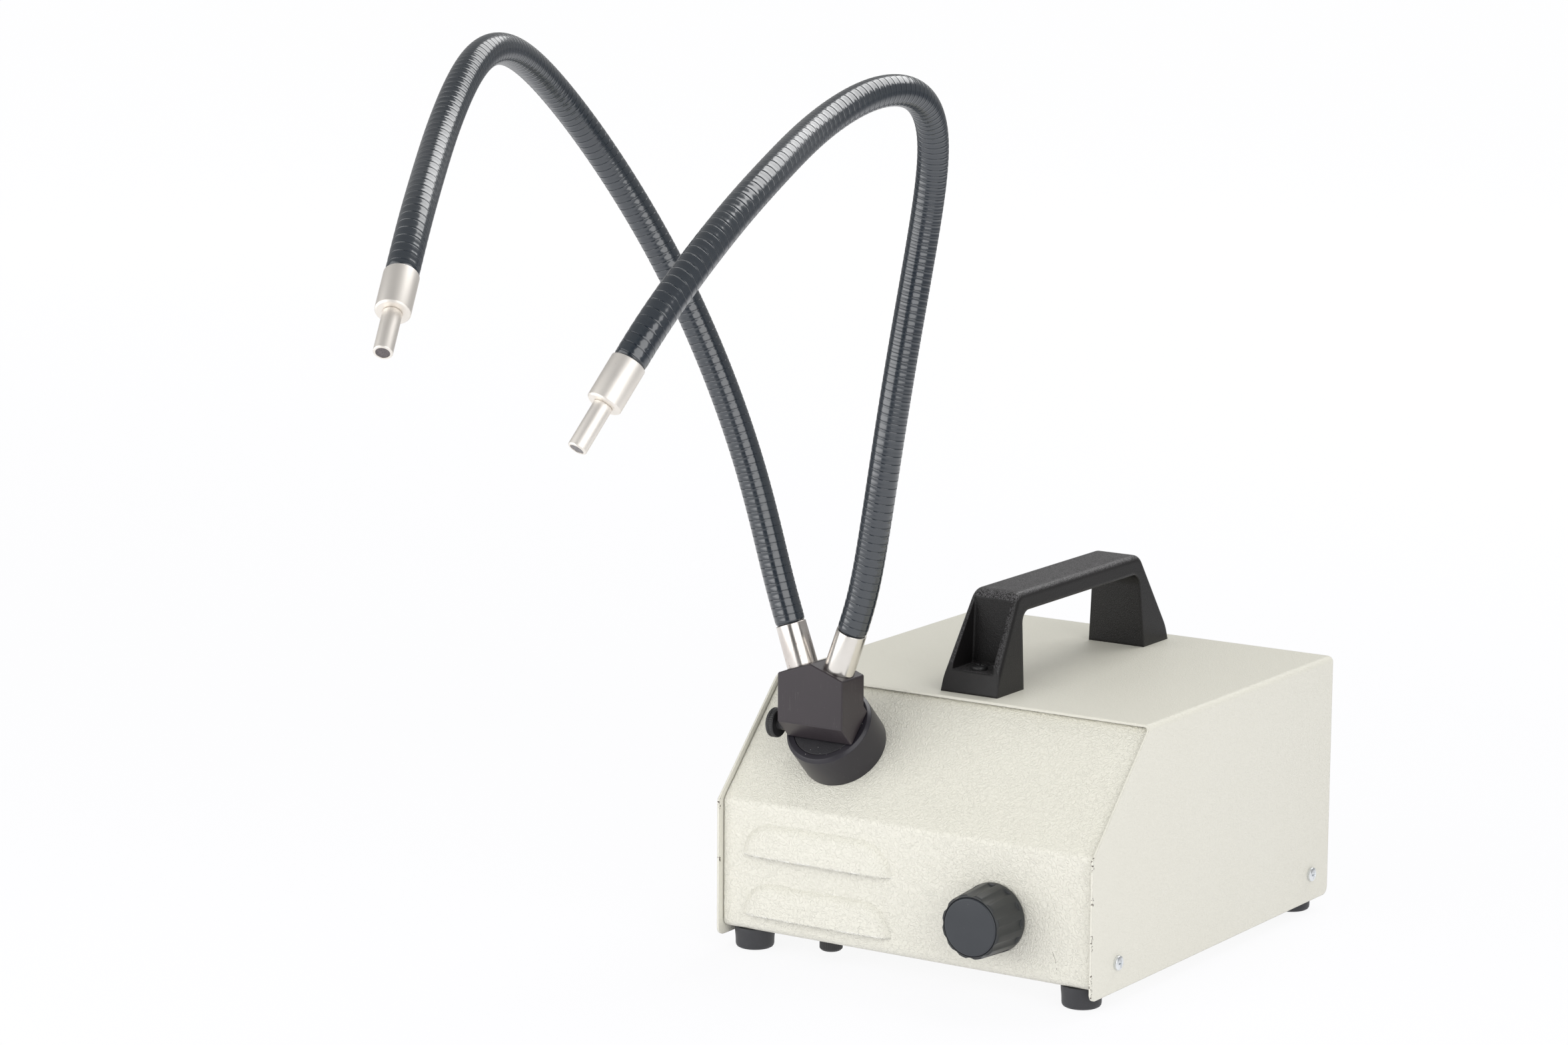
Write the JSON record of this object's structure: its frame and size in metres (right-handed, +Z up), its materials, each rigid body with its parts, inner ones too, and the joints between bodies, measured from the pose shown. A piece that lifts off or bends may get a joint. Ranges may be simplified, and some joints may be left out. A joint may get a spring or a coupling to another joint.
{
  "type": "fiber optic illuminator",
  "caption": "Bench light source in a sloped sheet-metal box with dimmer knob, carrying handle and a plug-in light guide on posable goosenecks.",
  "frame": {"origin": "on the bench surface under the middle of the housing", "axes": "+X to the right when facing the knob, +Y to the rear, +Z up"},
  "size_m": [0.2804, 0.614, 0.4913],
  "materials": {
    "cream_paint": "fine textured powder paint",
    "zinc_screw": "bright zinc",
    "foot_rubber": "matte",
    "handle_plastic": "fine grained",
    "knob_plastic": "satin",
    "knob_cap": "satin",
    "black_anodised": "black anodised, satin",
    "screw_black": "knurled",
    "steel": "plated",
    "pot_plastic": "matte",
    "hose_sheath": "glossy ribbed sheath",
    "nickel": "bright nickel",
    "fibre_glass": "polished bundle",
    "lamp_glass": "clear",
    "reflector": "polished",
    "ceramic": "glazed ceramic",
    "brass_pin": "plated",
    "core_iron": "laminated",
    "winding": "taped winding",
    "board": "laminate",
    "sink": "anodised",
    "spacer": "turned"
  },
  "bodies": {
    "housing": {"cover": "cream_paint", "chassis": "cream_paint", "cover_screws": "zinc_screw", "feet": "foot_rubber", "foot_screws": "zinc_screw", "handle": "handle_plastic", "handle_screws": "zinc_screw", "dimmer_pot": "pot_plastic", "dimmer_nut": "steel", "collar": "black_anodised", "collar_nut": "black_anodised", "lamp_tray": "steel", "heat_filter": "lamp_glass", "filter_ring": "steel", "lamp_reflector": "reflector", "lamp_capsule": "lamp_glass", "lamp_socket": "ceramic", "fan_frame": "pot_plastic", "fan_guard": "nickel", "fan_screws": "zinc_screw", "inlet_socket": "pot_plastic", "inlet_pins": "brass_pin", "inlet_screws": "zinc_screw", "transformer_core": "core_iron", "transformer_winding": "winding", "transformer_strap": "steel", "strap_screws": "zinc_screw", "dimmer_board": "board", "board_spacers": "spacer", "heat_sink": "sink"},
    "dimmer_control": {"knob": "knob_plastic", "knob_cap": "knob_cap", "dimmer_shaft": "steel"},
    "lamp_tray_screw": {"tray_screw": "screw_black"},
    "fan_wheel": {"fan_rotor": "pot_plastic"},
    "fuse_holder": {"fuse_drawer": "pot_plastic"},
    "bush": {"guide_bush": "black_anodised"},
    "guide": {"guide_block": "black_anodised", "guide_plug": "steel", "inlet_fibres": "fibre_glass", "base_ferrule_left": "nickel", "base_ferrule_right": "nickel", "left_gooseneck_root": "hose_sheath", "right_gooseneck_root": "hose_sheath"},
    "lock_screw": {"thumb_screw": "screw_black"},
    "left_lower": {"left_gooseneck_lower": "hose_sheath"},
    "left_upper": {"left_gooseneck_upper": "hose_sheath"},
    "left_fore": {"left_gooseneck_fore": "hose_sheath"},
    "left_tip": {"left_gooseneck_tip": "hose_sheath", "tip_ferrule_left": "nickel", "nozzle_left": "nickel", "outlet_fibres_left": "fibre_glass"},
    "right_lower": {"right_gooseneck_lower": "hose_sheath"},
    "right_upper": {"right_gooseneck_upper": "hose_sheath"},
    "right_fore": {"right_gooseneck_fore": "hose_sheath"},
    "right_tip": {"right_gooseneck_tip": "hose_sheath", "tip_ferrule_right": "nickel", "nozzle_right": "nickel", "outlet_fibres_right": "fibre_glass"}
  },
  "joints": [
    {"name": "dimmer_turn", "type": "hinge", "parent": "housing", "child": "dimmer_control", "pos_m": [0.0544, -0.1262, 0.0421], "axis": [0, 1, 0], "range_deg": [0, 300]},
    {"name": "tray_screw_turn", "type": "hinge", "parent": "housing", "child": "lamp_tray_screw", "pos_m": [-0.053, -0.112, 0.008], "axis": [0, 0, 1], "range_deg": [0, 720]},
    {"name": "fan_spin", "type": "hinge", "parent": "housing", "child": "fan_wheel", "pos_m": [-0.055, 0.115, 0.076], "axis": [0, 1, 0], "continuous": true},
    {"name": "fuse_drawer_slide", "type": "slide", "parent": "housing", "child": "fuse_holder", "axis": [0, 1, 0], "range_m": [0, 0.014]},
    {"name": "guide_swivel", "type": "hinge", "parent": "housing", "child": "bush", "pos_m": [-0.0552, -0.11368, 0.12576], "axis": [0, -0.715, 0.6991], "range_deg": [-45, 45]},
    {"name": "guide_pull", "type": "slide", "parent": "bush", "child": "guide", "axis": [0, -0.715, 0.6991], "range_m": [0, 0.036]},
    {"name": "lock_screw_turn", "type": "hinge", "parent": "guide", "child": "lock_screw", "pos_m": [-0.075, -0.12172, 0.1244], "axis": [-1, 0, 0], "range_deg": [0, 720]},
    {"name": "left_sway", "type": "hinge", "parent": "guide", "child": "left_lower", "pos_m": [-0.08877, -0.12218, 0.22821], "axis": [-0.0133, 0.9984, 0.0554], "range_deg": [-25, 25]},
    {"name": "left_bend", "type": "hinge", "parent": "left_lower", "child": "left_upper", "pos_m": [-0.14143, -0.16168, 0.39195], "axis": [0.9461, -0.1401, 0.2922], "range_deg": [-25, 25]},
    {"name": "left_drop", "type": "hinge", "parent": "left_upper", "child": "left_fore", "pos_m": [-0.14593, -0.28018, 0.48295], "axis": [0.9796, 0.2008, 0.0103], "range_deg": [-25, 25]},
    {"name": "left_aim", "type": "hinge", "parent": "left_fore", "child": "left_tip", "pos_m": [-0.09593, -0.40118, 0.42695], "axis": [0.1673, -0.2995, 0.9393], "range_deg": [-25, 25]},
    {"name": "right_sway", "type": "hinge", "parent": "guide", "child": "right_lower", "pos_m": [-0.02113, -0.12368, 0.23371], "axis": [0.0194, 0.9957, 0.0909], "range_deg": [-25, 25]},
    {"name": "right_bend", "type": "hinge", "parent": "right_lower", "child": "right_upper", "pos_m": [0.00753, -0.11918, 0.41495], "axis": [0.971, 0.0441, -0.235], "range_deg": [-25, 25]},
    {"name": "right_drop", "type": "hinge", "parent": "right_upper", "child": "right_fore", "pos_m": [0.01303, -0.21018, 0.45745], "axis": [0.9998, 0.0193, 0.0051], "range_deg": [-25, 25]},
    {"name": "right_aim", "type": "hinge", "parent": "right_fore", "child": "right_tip", "pos_m": [0.04453, -0.38518, 0.40145], "axis": [0.0184, -0.5226, 0.8524], "range_deg": [-25, 25]}
  ]
}
